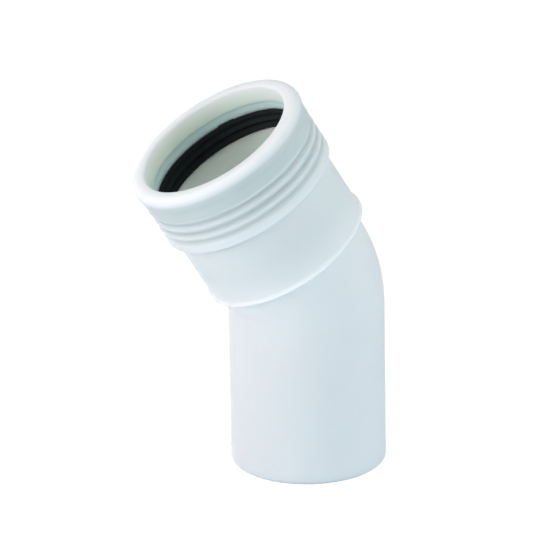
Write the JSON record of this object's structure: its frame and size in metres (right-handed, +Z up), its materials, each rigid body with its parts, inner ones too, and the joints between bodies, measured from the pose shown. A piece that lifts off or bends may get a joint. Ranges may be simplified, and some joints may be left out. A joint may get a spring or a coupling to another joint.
{
  "type": "waste pipe bend",
  "caption": "Push-fit waste pipe bend: a plain spigot, a shallow turn, and a socket whose thick ridged collar holds a rubber lip seal.",
  "frame": {"origin": "centre of the spigot's foot, on which the bend stands", "axes": "+Z up along the spigot, the socket leans 30 degrees from +Z towards -X, +Y is square to the plane of the turn"},
  "size_m": [0.0801, 0.0604, 0.1266],
  "materials": {
    "white_plastic": "smooth moulded polypropylene, white with a slight translucency",
    "black_rubber": "moulded black rubber"
  },
  "bodies": {
    "root": {"bend_body": "white_plastic", "seal_ring": "black_rubber"}
  },
  "joints": []
}
